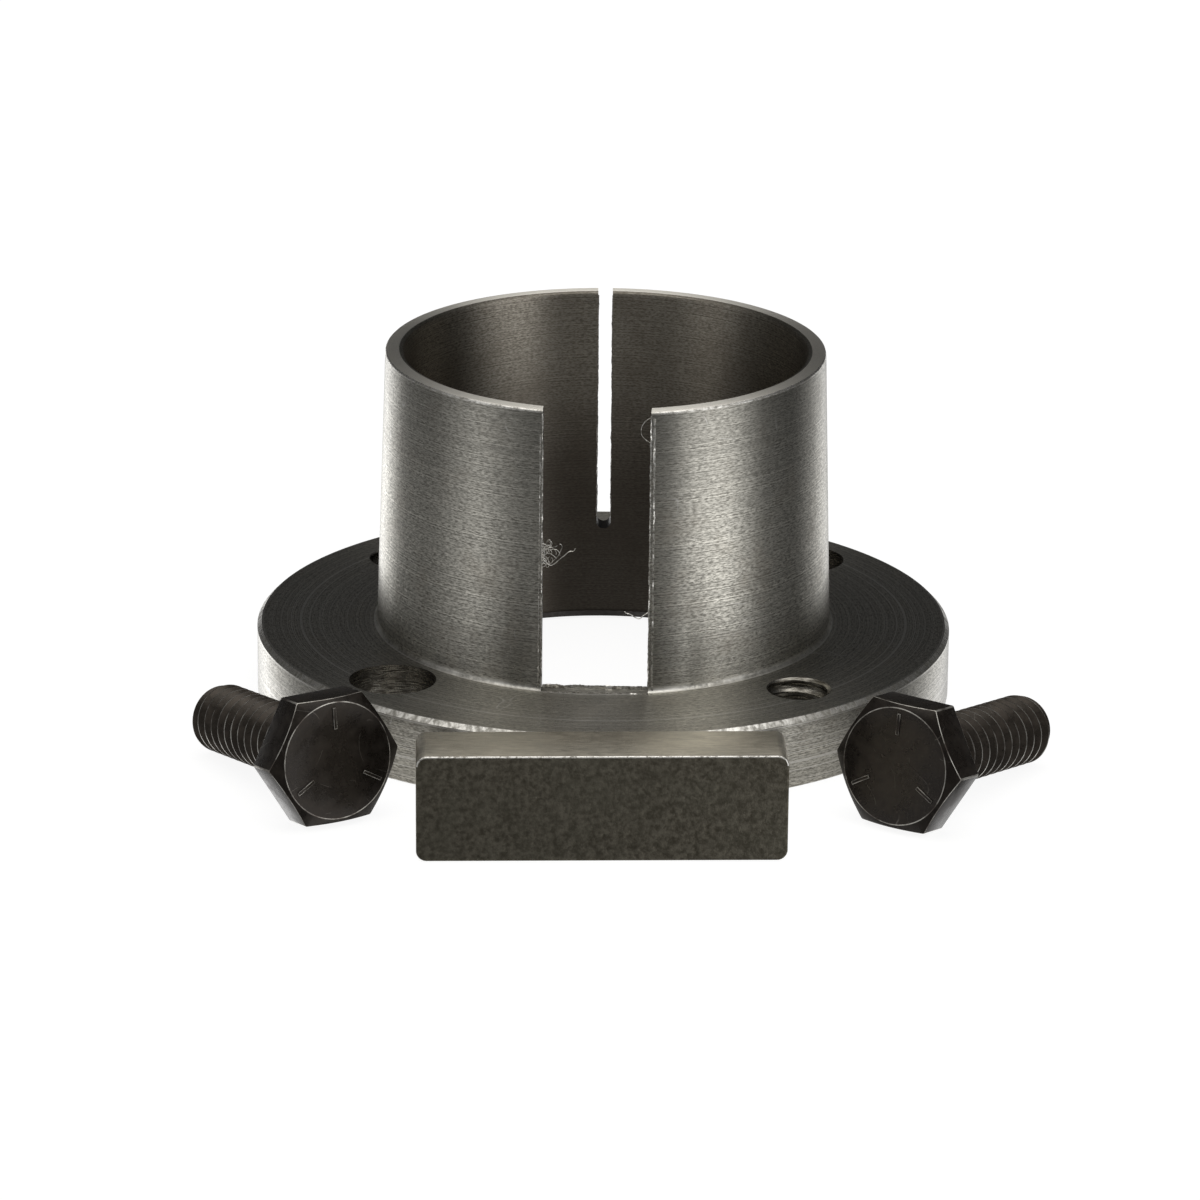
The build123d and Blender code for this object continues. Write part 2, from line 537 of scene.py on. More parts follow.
# %% Node group for scratches
thin_scratches, given, out = new_group(
    "thin_scratches",
    [("Place", VECTOR, None), ("Spacing", FLOAT, 0.006), ("Thinness", FLOAT, 0.006),
     ("Amount", FLOAT, 0.5)],
    [("Mask", FLOAT)],
)
scratch_scale = sums("DIVIDE", 1.0, given["Spacing"])
slow = noise(given["Place"], scratch_scale, 0.0)
off_line = sums("ABSOLUTE", sums("SUBTRACT", slow, 0.5))
line = between(off_line, 0.0, given["Thinness"], 1.0, 0.0)
patch_scale = times(scratch_scale, 2.7)
patches = noise(given["Place"], patch_scale, 1.0)
kept = between(patches, 0.52, 0.62)
faint = times(times(line, kept), given["Amount"])
thin_scratches.links.new(faint, out[0])
print("groups", [g.name for g in bpy.data.node_groups])

# %% [markdown]
# ## Turned steel
#
# The outside of the bushing is bare steel fresh from the lathe. Its fine rings scatter light
# up and down but hardly sideways, which is what Anisotropic is for: the tangent runs round the
# Z axis, and a quarter turn lays the spread across the rings.


# %% Helpers for finishes
def new_finish(name, metallic=1.0, roughness=0.35, anisotropic=0.0):
    """A material with a Principled shader, and the place on the piece in object coordinates."""
    finish = bpy.data.materials.new(name)
    finish.use_nodes = True
    tree = finish.node_tree
    shader = tree.nodes["Principled BSDF"]
    shader.inputs["Metallic"].default_value = metallic
    shader.inputs["Roughness"].default_value = roughness
    shader.inputs["Anisotropic"].default_value = anisotropic
    shader.inputs["Anisotropic Rotation"].default_value = 0.25
    place = node(tree, "TexCoord").outputs["Object"]
    return finish, shader, place


def lathe_marks(place, line_width, dash_length):
    return use_group(turning_marks, {"Place": place, "Line Width": line_width,
                                     "Dash Length": dash_length})


def clouds(place, size, start=0.45, full=0.7):
    """The mask of cloudy stains of this size."""
    return use_group(cloudy_stains, {"Place": place, "Size": size, "Start": start,
                                     "Full": full})["Mask"]


def scratches(place, spacing, thinness, amount):
    """The mask of thin scratches."""
    return use_group(thin_scratches, {"Place": place, "Spacing": spacing, "Thinness": thinness,
                                      "Amount": amount})["Mask"]


def tint(colour, mask, amount, other):
    """Mixes some of another colour in, where the mask is."""
    return blend_colour(times(mask, amount), colour, other)


def finish_off(shader, colour, roughness=None, height=None, distance=0.0):
    """Links the colour, the roughness and a bump's height to the shader."""
    tree = owner(colour)
    tree.links.new(colour, shader.inputs["Base Color"])
    if roughness is not None:
        tree.links.new(roughness, shader.inputs["Roughness"])
    if height is not None:
        bump = node(tree, "Bump", {"Height": height, "Distance": distance, "Strength": 1.0})
        tree.links.new(bump.outputs[0], shader.inputs["Normal"])


# %% Finish of the barrel and the flange
turned_steel, shader, place = new_finish("turned_steel", anisotropic=0.75)
marks = lathe_marks(place, 0.095 * MM, 0.40 * MM)
stains = clouds(place, 4 * MM, 0.48, 0.75)
height = parts_of(place)["Z"]
steel = two_tone(marks["Fine Lines"], 0.34, 0.66, (0.195, 0.187, 0.164), (0.73, 0.705, 0.63))
ring_tone = between(marks["Broad Rings"], 0.35, 0.65, 0.0, 0.28)
steel = blend_colour(ring_tone, steel, (0.30, 0.29, 0.26))
steel = tint(steel, stains, 0.35, (0.31, 0.275, 0.225))

# The flange's face has a few bright lines where the tool paused
on_flange = between(height, flange_thickness + 0.02 * MM, flange_thickness + 0.1 * MM, 1.0, 0.0)
tool_lines = times(marks["Tool Lines"], on_flange)
steel = tint(steel, tool_lines, 0.85, (0.85, 0.83, 0.79))

# The barrel gets painted shade towards its top and its root, and its rim's face is lighter and
# rougher
painted_shade_top = between(height, 18 * MM, 33 * MM, 0.0, 0.42)
on_rim = between(height, bushing_height - 0.1 * MM, bushing_height - 0.02 * MM)
painted_shade_top = times(painted_shade_top, sums("SUBTRACT", 1.0, on_rim))
steel = tint(steel, on_rim, 0.8, (1.0, 0.97, 0.90))
steel = blend_colour(painted_shade_top, steel, (0.16, 0.155, 0.14))
painted_shade_root = between(height, 8 * MM, 15 * MM, 0.22, 0.0)
steel = blend_colour(painted_shade_root, steel, (0.16, 0.155, 0.14))

# The fillet at the root gets a painted highlight: a bright line, in some stretches more than in
# others
fillet_highlight_band = between(marks["Radius"], barrel_root_radius + 0.35 * MM,
                    barrel_root_radius + 0.55 * MM, 1.0, 0.0)
fillet_highlight_amount = between(height, flange_thickness + 0.01 * MM, flange_thickness + 0.05 * MM)
fillet_highlight_amount = times(fillet_highlight_amount, between(height, flange_thickness + 0.4 * MM,
                                   flange_thickness + 0.6 * MM, 0.75, 0.0))
fillet_highlight_amount = times(fillet_highlight_amount, clouds(place, 7 * MM, 0.38, 0.62))
steel = tint(steel, fillet_highlight_band, fillet_highlight_amount, (0.92, 0.90, 0.84))
steel = blend_colour(scratches(place, 5 * MM, 0.004, 0.45), steel, (0.75, 0.74, 0.72))

sheen = between(marks["Fine Lines"], 0.34, 0.66, 0.37, 0.27)
sheen = sums("MULTIPLY_ADD", stains, 0.05, sheen)
sheen = sums("MULTIPLY_ADD", on_rim, 0.22, sheen)
finish_off(shader, steel, sheen, marks["Fine Lines"], 0.006 * MM)

# %% [markdown]
# The bore was bored and honed, then wiped with oil, so it is smoother, darker and browner than
# the outside. Deeper down it also gets painted shade, nearly black at its foot.

# %% Finish of the bore
bored_steel, shader, place = new_finish("bored_steel", anisotropic=0.9)
marks = lathe_marks(place, 0.10 * MM, 0.32 * MM)
height = parts_of(place)["Z"]
steel = two_tone(marks["Fine Lines"], 0.30, 0.72, (0.155, 0.137, 0.113), (0.46, 0.43, 0.37))
steel = tint(steel, clouds(place, 6 * MM, 0.42, 0.68), 0.4, (0.17, 0.145, 0.115))
# Painted shade: the bore is darkened deeper down
painted_shade_deep_in_bore = between(height, 12 * MM, 27 * MM, 0.78, 0.0)
steel = blend_colour(painted_shade_deep_in_bore, steel, (0.075, 0.062, 0.05))
# Painted shade at the bore's foot, nearly black
painted_shade_at_bore_foot = between(height, 0.7 * MM, 1.1 * MM, 0.9, 0.0)
steel = blend_colour(painted_shade_at_bore_foot, steel, (0.016, 0.013, 0.011))
sheen = between(marks["Fine Lines"], 0.34, 0.66, 0.42, 0.34)
finish_off(shader, steel, sheen, marks["Fine Lines"], 0.005 * MM)

# %% [markdown]
# The keyway, the slit and the drilled holes were cut after turning. Their walls carry the
# cutter's strokes instead of rings, so their finish has a noise stretched along Z.

# %% Finish of the cut walls
cut_steel, shader, place = new_finish("cut_steel")
strokes = noise(stretched(place, (6000, 6000, 350)), 1.0, 3.0, 0.6)
steel = two_tone(strokes, 0.3, 0.7, (0.12, 0.11, 0.095), (0.27, 0.255, 0.225))
steel = tint(steel, clouds(place, 2 * MM), 0.6, (0.10, 0.088, 0.07))
part = parts_of(place)
# Painted shade: the foot of the slit is darkened nearly to black
painted_shade_slit_foot = times(between(part["Z"], 9.9 * MM, 11.2 * MM, 0.93, 0.0),
                  between(part["Y"], 0.0, 1 * MM))
steel = blend_colour(painted_shade_slit_foot, steel, (0.014, 0.012, 0.010))
finish_off(shader, steel, between(strokes, 0.3, 0.7, 0.48, 0.36), strokes, 0.012 * MM)

# %% Finish of the drilled holes
drilled_steel, shader, place = new_finish("drilled_steel")
spiral = noise(stretched(place, (900, 900, 7000)), 1.0, 3.0, 0.6)
steel = two_tone(spiral, 0.35, 0.65, (0.11, 0.10, 0.085), (0.42, 0.40, 0.355))
finish_off(shader, steel, between(spiral, 0.3, 0.7, 0.34, 0.2), spiral, 0.03 * MM)

# %% [markdown]
# The lathe's chamfers are bright, uneven bands. Where a cutter leaves the metal it turns up a
# burr: a ragged lip, bright in some places and dark in others.

# %% Finish of the turned chamfers
edge_steel, shader, place = new_finish("edge_steel")
marks = lathe_marks(place, 0.12 * MM, 0.5 * MM)
steel = two_tone(marks["Fine Lines"], 0.36, 0.64, (0.28, 0.27, 0.24), (0.92, 0.90, 0.85))
steel = tint(steel, clouds(place, 2.5 * MM, 0.4, 0.65), 0.45, (0.33, 0.31, 0.27))
sheen = between(marks["Fine Lines"], 0.36, 0.64, 0.42, 0.26)
finish_off(shader, steel, sheen, marks["Fine Lines"], 0.012 * MM)

# %% Finish of the burrs, also the painted highlight on the key's top edges
burr_and_highlight_steel, shader, place = new_finish("burr_and_highlight_steel")
crumbs = noise(place, 1 / (0.3 * MM), 4.0, 0.65)
steel = two_tone(crumbs, 0.36, 0.58, (0.34, 0.325, 0.29), (0.95, 0.93, 0.88))
finish_off(shader, steel, between(crumbs, 0.3, 0.7, 0.5, 0.28), crumbs, 0.03 * MM)
print("bushing finishes", [m.name for m in bpy.data.materials if "steel" in m.name])

# %% [markdown]
# ## The bushing's turned body
#
# On a lathe the bushing is one piece: a flange, and a barrel whose sides lean in by one part in
# 32. It could be a half section that is spun, but a cylinder shaped by inset and extrude keeps
# each step visible: inset the top to the barrel's root, extrude the barrel, shrink its end to
# make the taper, inset both ends to the bore and bridge them.

# %% Turned body
bushing = add_cylinder("bushing_body", flange_radius, 0, flange_thickness, sides=256)
paint(bushing, turned_steel, bored_steel, cut_steel, edge_steel, drilled_steel)
TURNED, BORED, CUT, BROKEN, DRILLED = range(5)

edit(bushing)
pick(bushing, "FACE", lambda face: face.normal.z > 0.9)
bpy.ops.mesh.inset(thickness=flange_radius - barrel_root_radius)
extrude(z=barrel_height)
shrink = barrel_top_radius / barrel_root_radius
bpy.ops.transform.resize(value=(shrink, shrink, 1), center_override=(0, 0, bushing_height))
bpy.ops.mesh.inset(thickness=barrel_top_radius - bore_radius)
pick(bushing, "FACE", lambda face: face.normal.z < -0.9)
bpy.ops.mesh.inset(thickness=flange_radius - bore_radius)
picked = pick(bushing, "FACE", lambda face: len(face.verts) > 4)
bpy.ops.mesh.bridge_edge_loops()
face_outwards()
print("ends bridged", picked)

# %% Broken edges of the turned body
edge_breaks = [  # radius, height, width, segments
    (flange_radius, flange_thickness, 0.4 * MM, 1),
    (flange_radius, 0.0, 0.15 * MM, 2),
    (barrel_top_radius, bushing_height, 0.25 * MM, 3),
    (bore_radius, bushing_height, 0.45 * MM, 2),
    (bore_radius, 0.0, 0.8 * MM, 1),
    (barrel_root_radius, flange_thickness, 0.4 * MM, 4),
]
for radius, height, width, segments in edge_breaks:
    count = pick_ring(bushing, radius, height)
    bevel(width, segments)
    print("edge at radius", round(radius / MM, 2), "height", round(height / MM, 2), count)
leave_edit()
closed_report(bushing)

# %% [markdown]
# ## Cutting the keyway, the slit and the holes
#
# Each cut is a tool of the same shape as the real one, taken away with a boolean. The keyway's
# tool is stepped: through the flange it stops at the keyseat's floor, and above the flange it
# goes right through the barrel wall. The slit's tool has a round lower edge, like a saw that
# has plunged in.

# %% Keyway tool
tool_bottom, tool_top = -past_the_wall, bushing_height + past_the_wall
keyway_tool = add_box("keyway_tool", (keyway_width, keyseat_floor, tool_top - tool_bottom),
                      (0, -keyseat_floor / 2, (tool_bottom + tool_top) / 2))
edit(keyway_tool)
pick_all()
bpy.ops.mesh.bisect(plane_co=(0, 0, flange_thickness), plane_no=(0, 0, 1))
pick(keyway_tool, "FACE", lambda face: face.normal.y < -0.9
     and face.calc_center_median().z > flange_thickness)
extrude(y=-(barrel_root_radius + past_the_wall - keyseat_floor))
face_outwards()
leave_edit()
closed_report(keyway_tool)
work_with(bushing, keyway_tool, "DIFFERENCE")

# %% Slit tool
slit_width, slit_bottom, slit_angle = 1.35 * MM, 9.0 * MM, radians(92.3)
slit_length = barrel_root_radius + past_the_wall
slit_height = bushing_height + past_the_wall - slit_bottom
toward_slit = Vector((cos(slit_angle), sin(slit_angle), 0))
slit_middle = toward_slit * slit_length / 2 + Vector((0, 0, slit_bottom + slit_height / 2))
slit_tool = add_box("slit_tool", (slit_length, slit_width, slit_height), slit_middle, slit_angle)
edit(slit_tool)
pick(slit_tool, "EDGE", lambda edge: middle(edge).z < slit_bottom + 0.01 * MM
     and abs((edge.verts[1].co - edge.verts[0].co).dot(toward_slit)) > slit_length / 2)
bevel(slit_width / 2 * 0.999, 8)
leave_edit()
closed_report(slit_tool)
work_with(bushing, slit_tool, "DIFFERENCE")

# %% Drills
clearance_hole_angles, tapped_hole_angles = (-135, 45), (-45, 141)
clearance_hole_radius = 3.9 * MM


def on_bolt_circle(angle):
    """The point on the bolt circle at this angle in degrees from +X."""
    return bolt_circle_radius * cos(radians(angle)), bolt_circle_radius * sin(radians(angle))


for angle in clearance_hole_angles:
    x, y = on_bolt_circle(angle)
    drill = add_cylinder("drill", clearance_hole_radius, -flange_thickness / 2,
                         flange_thickness * 1.5, x=x, y=y)
    work_with(bushing, drill, "DIFFERENCE")
closed_report(bushing)

# %% [markdown]
# ## Screw threads
#
# A thread is one small V shaped section that climbs one pitch in each turn. A single point is
# extruded into that section, and the Screw modifier winds it up. The ends are cut flat with
# bisect, which also closes them. The rod is used twice: as a tap, to cut the flange's two
# threaded holes, and as the shank of the cap screws. A tap first gets a cone at each face of the
# flange, so that one cut makes the thread and its countersinks.

# %% Thread maker
thread_pitch = 1.27 * MM


def threaded_rod(name, steps, bottom, top, turn_steps=64):
    """A closed rod with a right-hand thread; steps are the section's moves (outwards, up)."""
    bpy.ops.object.select_all(action="DESELECT")
    bpy.ops.mesh.primitive_plane_add(size=0.1 * MM)
    rod = added(name)
    edit(rod)
    bpy.ops.mesh.select_mode(type="VERT")
    pick_all()
    bpy.ops.mesh.merge(type="CENTER")
    start = steps[0]
    bpy.ops.transform.translate(value=(start[0], 0, bottom - 1.5 * thread_pitch + start[1]))
    for outwards, up in steps[1:]:
        extrude(x=outwards, z=up)
    leave_edit()
    winding = rod.modifiers.new("winding", "SCREW")
    winding.angle = 2 * pi
    winding.screw_offset = thread_pitch
    winding.iterations = int((top - bottom) / thread_pitch) + 4
    winding.steps = winding.render_steps = turn_steps
    winding.use_smooth_shade = False
    only(rod)
    bpy.ops.object.modifier_apply(modifier=winding.name)
    edit(rod)
    bpy.ops.mesh.select_mode(type="VERT")
    pick_all()
    bpy.ops.mesh.remove_doubles(threshold=0.001 * MM)
    for level, below in ((bottom, True), (top, False)):
        pick_all()
        bpy.ops.mesh.bisect(plane_co=(0, 0, level), plane_no=(0, 0, 1), use_fill=True,
                            clear_inner=below, clear_outer=not below, threshold=0.0001 * MM)
    face_outwards()
    leave_edit()
    return rod


# %% Tapped holes
tap_minor, tap_major = 2.6 * MM, 3.125 * MM
tap_flat = tap_crest = 0.16 * MM
tap_flank = (thread_pitch - tap_flat - tap_crest) / 2
tap_steps = [
    (tap_minor, 0), (0, tap_flat), (tap_major - tap_minor, tap_flank), (0, tap_crest),
    (tap_minor - tap_major, tap_flank),
]
countersink_depth = 0.25 * MM


def countersink(x, y, height, up):
    """A short cone that breaks a hole's edge on one face of the flange."""
    wide = tap_minor + 2 * countersink_depth
    bpy.ops.object.select_all(action="DESELECT")
    bpy.ops.mesh.primitive_cone_add(
        vertices=96, depth=2 * countersink_depth, location=(x, y, height),
        radius1=tap_minor if up else wide, radius2=wide if up else tap_minor,
    )
    return added("countersink")


# Turned this far, no ridge of the thread lies along an edge of the flange
tap_turn = radians(20)
tap_overrun = 1 * MM
for angle in tapped_hole_angles:
    x, y = on_bolt_circle(angle)
    tap = threaded_rod("tap", tap_steps, -tap_overrun, flange_thickness + tap_overrun, 48)
    tap.location, tap.rotation_euler = (x, y, 0), (0, 0, tap_turn)
    settle(tap)
    work_with(tap, countersink(x, y, flange_thickness, True), "UNION")
    work_with(tap, countersink(x, y, 0, False), "UNION")
    closed_report(tap)
    work_with(bushing, tap, "DIFFERENCE")
tidy_mesh(bushing)
closed_report(bushing)

# %% [markdown]
# Each wall now gets its own finish. The faces are told apart by where they are: the bore by its
# radius, the keyway and the slit by the planes of their tools, the holes by their distance from
# the bolt circle's points.


# %% Finishes of the bushing's faces
hole_places = [Vector((*on_bolt_circle(angle), 0))
               for angle in clearance_hole_angles + tapped_hole_angles]


def finish_of(face):
    """The material slot for a face of the bushing."""
    centre, normal = face.center, face.normal
    radius, near = radius_of(centre), 0.01 * MM
    flat = Vector((centre.x, centre.y, 0))
    to_hole = min((flat - hole).length for hole in hole_places)
    if to_hole < clearance_hole_radius + 0.2 * MM and abs(normal.z) < 0.9:
        return DRILLED
    inwards = -(normal.x * centre.x + normal.y * centre.y) / radius
    keyway_wall = (centre.y < 0 and abs(centre.x) < keyway_width / 2 + near
                   and abs(normal.x) > 0.99 and abs(normal.z) < 0.1 and inwards < 0.5)
    seat_floor = centre.y < 0 and abs(centre.y + keyseat_floor) < near and normal.y > 0.9
    across_slit = centre.x * toward_slit.y - centre.y * toward_slit.x
    slit_wall = (centre.y > 0 and abs(across_slit) < slit_width / 2 + near
                 and radius > bore_radius + 0.02 * MM and abs(normal.dot(toward_slit)) < 0.5
                 and slit_bottom - near < centre.z < bushing_height - 0.5 * MM)
    if keyway_wall or seat_floor or slit_wall:
        return CUT
    # The bore takes the breaks of its own two rims with it
    if (radius < bore_radius + 0.2 * MM and inwards > 0.5
            or radius < bore_radius + 0.85 * MM and inwards > 0.3):
        return BORED
    if 0.1 < abs(normal.z) < 0.95 and (radius > flange_radius - 0.45 * MM
                                       or centre.z > bushing_height - 0.35 * MM):
        return BROKEN
    return TURNED


counts = [0] * 5
for face in bushing.data.polygons:
    face.material_index = finish_of(face)
    counts[face.material_index] += 1
print("faces turned, bored, cut, broken, drilled", counts)

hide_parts("split_taper_bushing")
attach(bushing, "bushing")

# %% [markdown]
# ## Burrs along the keyway
#
# The cutter that opened the keyway left a thin ragged lip along both edges. It is real metal
# that stands off the edge, so it is modelled: a thin bar along the edge, subdivided along its
# length, with its points moved about at random with a fixed seed.


# %% Burr strips
def burr_strip(start, end, width, thickness, jitter, seed):
    """A thin ragged bar from start to end, in millimetres, wavy first and then crumbled."""
    start, end = Vector(start) * MM, Vector(end) * MM
    run = end - start
    strip = add_box("burr", (width * MM, thickness * MM, run.length))
    paint(strip, burr_and_highlight_steel)
    edit(strip)
    coarse_cuts, fine_cuts = int(run.length / (0.7 * MM)), 4
    longest = run.length
    for cuts, wander in ((coarse_cuts, jitter), (fine_cuts, jitter * 0.7)):
        pick(strip, "EDGE", lambda edge: span(edge)[2] > longest / 2)
        bpy.ops.mesh.subdivide(number_cuts=cuts)
        pick_all()
        bpy.ops.transform.vertex_random(offset=wander * MM, uniform=0.1, normal=0.0, seed=seed)
        longest = run.length / (cuts + 1)
    leave_edit()
    strip.rotation_mode = "QUATERNION"
    strip.rotation_quaternion = run.to_track_quat("Z", "Y")
    strip.location = (start + end) / 2
    settle(strip)
    return strip


def edge_point(side, height, inset=0.0):
    """A point on the keyway's outer edge, in millimetres, at this height."""
    radius = (barrel_root_radius - taper_per_side * (height * MM - flange_thickness)) / MM
    half = keyway_width / MM / 2 - inset
    return (side * half, -sqrt(radius**2 - half**2), height)


def slit_edge(side, height):
    """A point on the slit's edge in the bore, in millimetres, at this height."""
    half = slit_width / 2 - 0.02 * MM
    along = toward_slit * sqrt(bore_radius**2 - half**2)
    sideways = Vector((-toward_slit.y, toward_slit.x, 0)) * side * half
    return tuple((along + sideways + Vector((0, 0, height * MM))) / MM)


lip = -keyseat_floor / MM
strips = [
    burr_strip(edge_point(1, 6.5), edge_point(1, 31.9), 0.10, 0.10, 0.05, 3),
    burr_strip(edge_point(1, 6.5, -0.33), edge_point(1, 31.6, -0.3), 0.16, 0.06, 0.05, 4),
    burr_strip(edge_point(-1, 6.5), edge_point(-1, 31.9), 0.10, 0.09, 0.05, 8),
    burr_strip(edge_point(-1, 6.5, -0.26), edge_point(-1, 30.0, -0.2), 0.07, 0.05, 0.04, 9),
    burr_strip((-4.7, lip - 0.12, 6.52), (4.7, lip - 0.12, 6.52), 0.12, 0.30, 0.07, 12),
    burr_strip((-4.75, -20.55, 6.41), (4.75, -20.55, 6.41), 0.18, 0.08, 0.03, 14),
    burr_strip(slit_edge(1, 10.3), slit_edge(1, 31.9), 0.10, 0.06, 0.05, 5),
    burr_strip(slit_edge(-1, 10.3), slit_edge(-1, 31.9), 0.07, 0.06, 0.04, 6),
]
keyway_burrs = joined(strips, "keyway_burrs")
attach(keyway_burrs, "bushing")

# %% [markdown]
# ## Swarf
#
# Swarf, the hair-fine chips that a cutter makes, still hangs in the keyway: a tangle on its left
# edge and three longer hairs. Each hair is a curve that wanders from its root, given a round
# thickness and made a mesh.


# %% Swarf hairs
def swarf_hair(points, thickness):
    """A thin wandering wire through these points, in millimetres."""
    curve = bpy.data.curves.new("hair", "CURVE")
    curve.dimensions = "3D"
    spline = curve.splines.new("NURBS")
    spline.points.add(len(points) - 1)
    for knot, point in zip(spline.points, points):
        knot.co = (*(Vector(point) * MM), 1)
    spline.order_u = 3
    spline.use_endpoint_u = True
    curve.bevel_depth = thickness / 2 * MM
    curve.bevel_resolution = 1
    curve.use_fill_caps = True
    curve.resolution_u = 4
    hair = bpy.data.objects.new("hair", curve)
    bpy.context.scene.collection.objects.link(hair)
    only(hair)
    bpy.ops.object.convert(target="MESH")
    return bpy.context.object


draw = random.Random(21)
tangle_hairs, hair_steps, step_length, keyway_edge = 15, 12, 0.27, -4.72
hairs = []
for index in range(tangle_hairs):
    point = Vector(edge_point(-1, 19.1 + draw.uniform(-1.0, 1.0)))
    turn, tilt = draw.uniform(-0.9, 0.9), draw.uniform(-0.3, 0.3)
    curl = draw.choice((-1, 1)) * draw.uniform(0.3, 0.85)
    points = [tuple(point)]
    for step in range(hair_steps):
        turn += curl + draw.uniform(-0.5, 0.5)
        heading = Vector((0.8 * cos(turn) + 0.30, tilt, 0.9 * sin(turn) - 0.06))
        point = point + heading * step_length
        point.x = max(point.x, keyway_edge)
        points.append(tuple(point))
    hairs.append(swarf_hair(points, 0.055))
long_hair = [(-4.6, -19.9, 18.6), (-4.1, -20.1, 18.0), (-3.6, -20.2, 18.3), (-3.2, -20.2, 18.7),
             (-2.7, -20.1, 19.1), (-2.3, -20.1, 19.5), (-1.9, -20.0, 19.4), (-1.8, -20.0, 19.7)]
right_hair = [(4.70, -20.1, 13.9), (4.3, -20.2, 13.7), (3.95, -20.3, 13.3), (3.5, -20.3, 13.5),
              (3.1, -20.2, 13.8), (2.75, -20.2, 13.8), (2.6, -20.2, 14.0)]
edge_curl = [(4.74, -19.35, 31.7), (4.3, -19.4, 31.5), (3.9, -19.45, 30.9), (3.85, -19.4, 30.2),
             (4.2, -19.4, 29.7), (4.72, -19.4, 29.4)]
for points, thickness in ((edge_curl, 0.06), (long_hair, 0.075), (right_hair, 0.09)):
    hairs.append(swarf_hair(points, thickness))
swarf = joined(hairs, "swarf_wisps")
paint(swarf, burr_and_highlight_steel)
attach(swarf, "bushing")

# %% [markdown]
# ## The key's steel
#
# Key stock is cold drawn and left as it comes: a matte, mottled grey brown skin with short
# draw lines along it. Its top edges get a painted highlight. Here the skin is a stain of two
# sizes over a noise stretched along the key.

# %% Finish of the key's drawn faces
key_turn = radians(4.1)
key_steel, shader, place = new_finish("key_steel")
drawn = noise(stretched(place, (500, 4000, 4000), -key_turn), 1.0, 3.0, 0.6)
mottle = clouds(place, 0.9 * MM, 0.35, 0.68)
skin = two_tone(drawn, 0.3, 0.7, (0.74, 0.69, 0.58), (1.0, 0.94, 0.80))
skin = tint(skin, mottle, 0.3, (0.50, 0.46, 0.38))
skin = tint(skin, clouds(place, 5 * MM, 0.4), 0.3, (0.56, 0.54, 0.46))
nicks = scratches(place, 4 * MM, 0.008, 0.5)
skin = blend_colour(nicks, skin, (0.7, 0.69, 0.66))
matte = sums("MULTIPLY_ADD", mottle, 0.08, 0.34)
grain = sums("MULTIPLY_ADD", mottle, 0.5, drawn)
finish_off(shader, skin, matte, grain, 0.008 * MM)

# %% Finish of the key's wide faces
mottled_steel, shader, place = new_finish("mottled_steel")
speckle = clouds(place, 0.5 * MM, 0.30, 0.74)
mottle = clouds(place, 1.3 * MM, 0.38, 0.66)
crumbs = clouds(place, 0.16 * MM, 0.64, 0.76)
skin = blend_colour(speckle, (0.083, 0.074, 0.055), (0.220, 0.202, 0.160))
skin = tint(skin, mottle, 0.4, (0.088, 0.080, 0.062))
skin = tint(skin, clouds(place, 7 * MM, 0.4), 0.3, (0.15, 0.145, 0.112))
skin = tint(skin, crumbs, 0.6, (0.36, 0.34, 0.29))
matte = sums("MULTIPLY_ADD", mottle, 0.12, 0.50)
grain = sums("MULTIPLY_ADD", mottle, 0.6, speckle)
finish_off(shader, skin, matte, grain, 0.02 * MM)

# %% [markdown]
# ## The key
#
# The key stands on one of its narrow long faces, turned a few degrees. It is a cube stretched
# to size. The four corners of its wide faces get a visible radius, and then the rim of each
# wide face is broken lightly. Along the top the break takes the bright burr finish as a painted
# highlight, and lower down it is as dull as the wide face.

# %% Key
key_length, key_thickness, key_height = 31.75 * MM, 6.35 * MM, 9.5 * MM
key_shift, key_gap = 1.5 * MM, 7 * MM
key = add_box("key_stock", (key_length, key_thickness, key_height))
paint(key, key_steel, mottled_steel, burr_and_highlight_steel)
edit(key)
pick(key, "EDGE", lambda edge: span(edge)[1] > key_thickness / 2)
bevel(0.9 * MM, 10)
pick(key, "EDGE", lambda edge: span(edge)[1] < 0.01 * MM
     and abs(middle(edge).y) > key_thickness / 2 - 0.01 * MM)
# The breaks take the burr finish, a painted highlight along the top; the lower ones are set dull
# below
bevel(0.15 * MM, 3, 2)
pick(key, "FACE", lambda face: abs(face.normal.y) > 0.99 or abs(face.normal.y) > 0.05
     and face.calc_center_median().z < key_height / 2 - 1 * MM)
key.active_material_index = 1
bpy.ops.object.material_slot_assign()
leave_edit()
key.location = (key_shift, -(flange_radius + key_gap + key_thickness / 2), key_height / 2)
key.rotation_euler = (0, 0, key_turn)
settle(key)
tidy_mesh(key)
closed_report(key)
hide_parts("key")
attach(key, "key")

# %% [markdown]
# ## Black oxide
#
# The screws are blackened and oiled: a dark, slightly brown, glossy skin. The thread's flanks
# hold dust, so they are lighter. Thread crests and corners are rubbed through to bare metal in
# places.


# %% Finishes of the screws
def blackened(name, dark, light, dusty):
    """A blackened, oiled finish: two tones of skin, with some dust and a few scratches."""
    finish, shader, place = new_finish(name, metallic=0.55)
    blotches = clouds(place, 1.6 * MM, 0.4)
    dust = clouds(place, 0.35 * MM, 0.55, 0.75)
    skin = blend_colour(blotches, dark, light)
    skin = tint(skin, dust, dusty, (0.085, 0.072, 0.062))
    nicks = scratches(place, 3.5 * MM, 0.006, 0.3)
    skin = blend_colour(nicks, skin, (0.30, 0.28, 0.25))
    oiled = sums("MULTIPLY_ADD", blotches, 0.14, 0.26)
    fine_skin = noise(place, 1 / (0.25 * MM), 3.0)
    finish_off(shader, skin, oiled, fine_skin, 0.010 * MM)
    return finish


